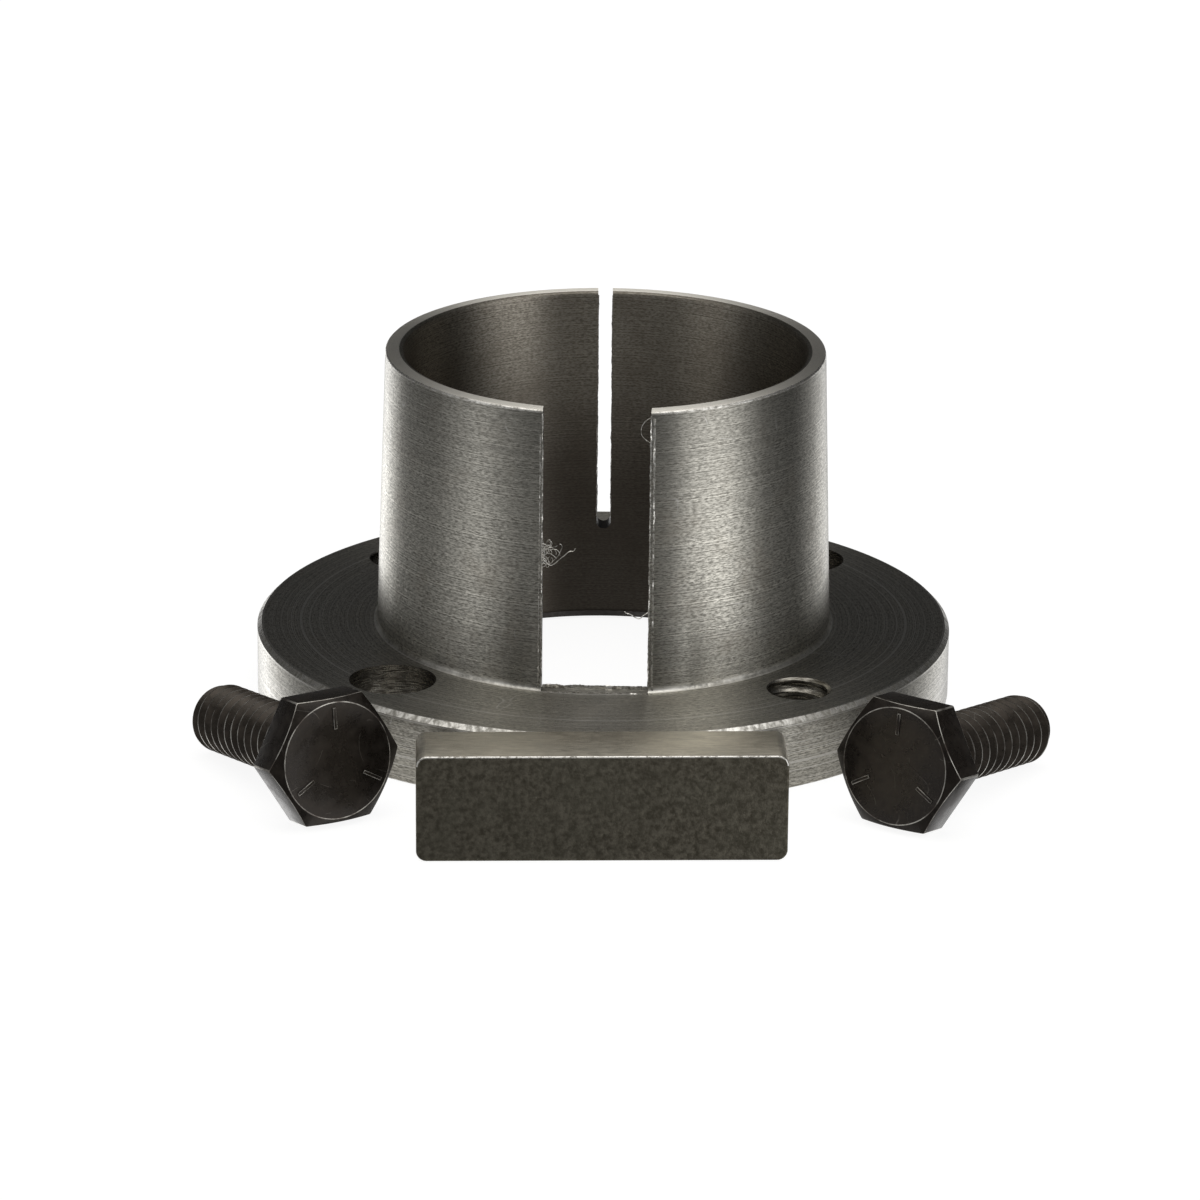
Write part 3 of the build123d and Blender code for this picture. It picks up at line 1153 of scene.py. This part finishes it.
black_oxide = blackened("black_oxide", (0.020, 0.0155, 0.012), (0.034, 0.027, 0.021), 0.25)
thread_oxide = blackened("thread_oxide", (0.052, 0.043, 0.034), (0.085, 0.070, 0.056), 0.5)

rubbed_oxide, shader, place = new_finish("rubbed_oxide", metallic=0.85, roughness=0.32)
rubbed = clouds(place, 2.2 * MM, 0.36, 0.60)
finish_off(shader, blend_colour(rubbed, (0.11, 0.092, 0.08), (0.62, 0.60, 0.55)))
print("screw finishes", black_oxide.name, thread_oxide.name, rubbed_oxide.name)

# %% [markdown]
# ## The cap screws
#
# A hexagon head cap screw is cold headed, then its thread is rolled. The head is a six-sided
# cylinder, kept only where it lies inside a turned blank with a 30 degree chamfer, which draws
# the curved edges on its flats. Under it are the washer face and a short plain neck, then the
# shank from the thread maker, its tip chamfered in the same way. Each screw is modelled upright,
# with the face of its head at the origin and its tip along +Z, and then laid down.

# %% Screw head
across_flats, head_height, washer_face_height = 11.0 * MM, 3.6 * MM, 0.25 * MM
corner_radius = across_flats / 2 / cos(radians(30))
head_face_radius, head_chamfer = 5.15 * MM, radians(30)
head_total = head_height + washer_face_height
screw_length, thread_radius, tip_chamfer = 18.4 * MM, 3.125 * MM, 0.75 * MM

screw = add_cylinder("cap_screw", corner_radius, 0, head_height, sides=6, turn=radians(30))
paint(screw, black_oxide, rubbed_oxide, thread_oxide)
edit(screw)
pick(screw, "EDGE", lambda edge: span(edge)[2] > head_height / 2)
bevel(0.12 * MM, 3, 1)
leave_edit()

blank_radius = corner_radius + 0.5 * MM
blank_drop = (blank_radius - head_face_radius) * tan(head_chamfer)
blank = add_cylinder("blank", blank_radius, blank_drop, head_height, sides=128)
paint(blank, black_oxide)
edit(blank)
pick(blank, "FACE", lambda face: face.normal.z < -0.9)
extrude(z=-blank_drop)
narrow = head_face_radius / blank_radius
bpy.ops.transform.resize(value=(narrow, narrow, 1), center_override=(0, 0, 0))
leave_edit()
work_with(screw, blank, "INTERSECT")
closed_report(screw)

# %% Rubbed edges of the head
edit(screw)
sharp = radians(18)


def is_rim(edge):
    """Whether an edge is a rim of the head. The tiny ones at its lower corners are left out."""
    lower = middle(edge).z > head_height - 0.02 * MM
    return (len(edge.link_faces) == 2 and edge.calc_face_angle(0.0) > sharp
            and (not lower or edge.calc_length() > 3 * MM) and span(edge)[2] < 1 * MM)


rims = pick(screw, "EDGE", is_rim)
bevel(0.045 * MM, 2, 1)
leave_edit()
print("edges rubbed", rims)
closed_report(screw)

# %% [markdown]
# Three raised lines on the head say how strong the screw's steel is. They are thin bars with
# rounded corners, sunk a little into the head and joined to it.

# %% Grade lines
mark_length, mark_width, mark_height, mark_sunk = 1.9 * MM, 0.32 * MM, 0.12 * MM, 0.20 * MM
for angle in (-90, 30, 150):
    reach = 4.7 * MM - mark_length / 2
    place = (reach * cos(radians(angle)), reach * sin(radians(angle)),
             (mark_sunk - mark_height) / 2)
    size = (mark_length, mark_width, mark_height + mark_sunk)
    grade_line = add_box("grade_line", size, place, radians(angle))
    paint(grade_line, black_oxide, rubbed_oxide)
    edit(grade_line)
    bpy.ops.mesh.select_mode(type="EDGE")
    pick_all()
    bevel(0.05 * MM, 2, 1)
    leave_edit()
    work_with(screw, grade_line, "UNION")
closed_report(screw)

# %% Washer face, neck and shank
washer_face_radius, neck_radius, overlap = 5.1 * MM, 2.85 * MM, 0.3 * MM
for radius, bottom, top in ((washer_face_radius, head_height - overlap, head_total),
                            (neck_radius, head_total - overlap, head_total + 1.2 * MM)):
    collar = add_cylinder("collar", radius, bottom, top)
    paint(collar, black_oxide)
    work_with(screw, collar, "UNION")

crest_flat, root_flat, thread_depth = 0.13 * MM, 0.18 * MM, 0.7 * MM
flank = (thread_pitch - crest_flat - root_flat) / 2
shank_steps = [
    (thread_radius - thread_depth, 0), (0, root_flat), (thread_depth, flank), (0, crest_flat),
    (-thread_depth, flank),
]
shank = threaded_rod("shank", shank_steps, head_total + 0.55 * MM, head_total + screw_length)
paint(shank, black_oxide, rubbed_oxide, thread_oxide)
for face in shank.data.polygons:
    on_crest = radius_of(face.center) > thread_radius - 0.02 * MM and abs(face.normal.z) < 0.5
    face.material_index = 1 if on_crest else 2
closed_report(shank)

tip_blank = add_cylinder("tip_blank", thread_radius * 1.002, head_total - 1 * MM,
                         head_total + screw_length)
paint(tip_blank, black_oxide)
edit(tip_blank)
pick(tip_blank, "FACE", lambda face: face.normal.z > 0.9)
bpy.ops.mesh.region_to_loop()
bevel(tip_chamfer)
leave_edit()
work_with(shank, tip_blank, "INTERSECT")
work_with(screw, shank, "UNION")
tidy_mesh(screw, 32)
closed_report(screw)

# %% [markdown]
# ## Laying the screws down
#
# A screw that lies on a bench rests on the rim of its head and on the end of its thread, so its
# axis slopes down to the tip. The slope follows from the two radii and the length between them.
# The second screw is a copy with its own mesh.

# %% Places of the screws
tip_contact = head_total + screw_length - tip_chamfer
slope = atan2(across_flats / 2 - thread_radius, tip_contact - head_height)
bench_gap = 0.02 * MM
face_height = head_height * sin(slope) + across_flats / 2 * cos(slope) + bench_gap


def lay_down(piece, gap, direction, turn):
    """Lays a screw on the bench: gap from the flange's edge, direction and turn in degrees."""
    reach = flange_radius + gap * MM
    axis = Vector((cos(slope) * cos(radians(turn)), cos(slope) * sin(radians(turn)),
                   -sin(slope)))
    side = Vector((sin(radians(turn)), -cos(radians(turn)), 0))
    turned = Matrix((side, axis.cross(side), axis)).transposed().to_4x4()
    turned.translation = (reach * cos(radians(direction)), reach * sin(radians(direction)),
                          face_height)
    piece.matrix_world = turned
    settle(piece)


only(screw)
bpy.ops.object.duplicate(linked=False)
second_screw = bpy.context.object
screw.name, second_screw.name = "cap_screw_on_left", "cap_screw_on_right"
lay_down(screw, 11.8, -119.5, 123.1)
lay_down(second_screw, 13.25, -53.8, 57.5)
for piece, side in ((screw, "left"), (second_screw, "right")):
    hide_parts("cap_screw_" + side)
    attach(piece, "cap_screw_" + side)
print("slope", round(slope * 180 / pi, 2), "degrees, head's face",
      round(face_height / MM, 3), "mm up")

# %% [markdown]
# ## Finish
#
# The CAD model's box, as measured before any piece was made, is printed.

# %% Print the CAD box and finish
print("CAD box", [[round(v / MM, 2) for v in corner] for corner in cad_box])
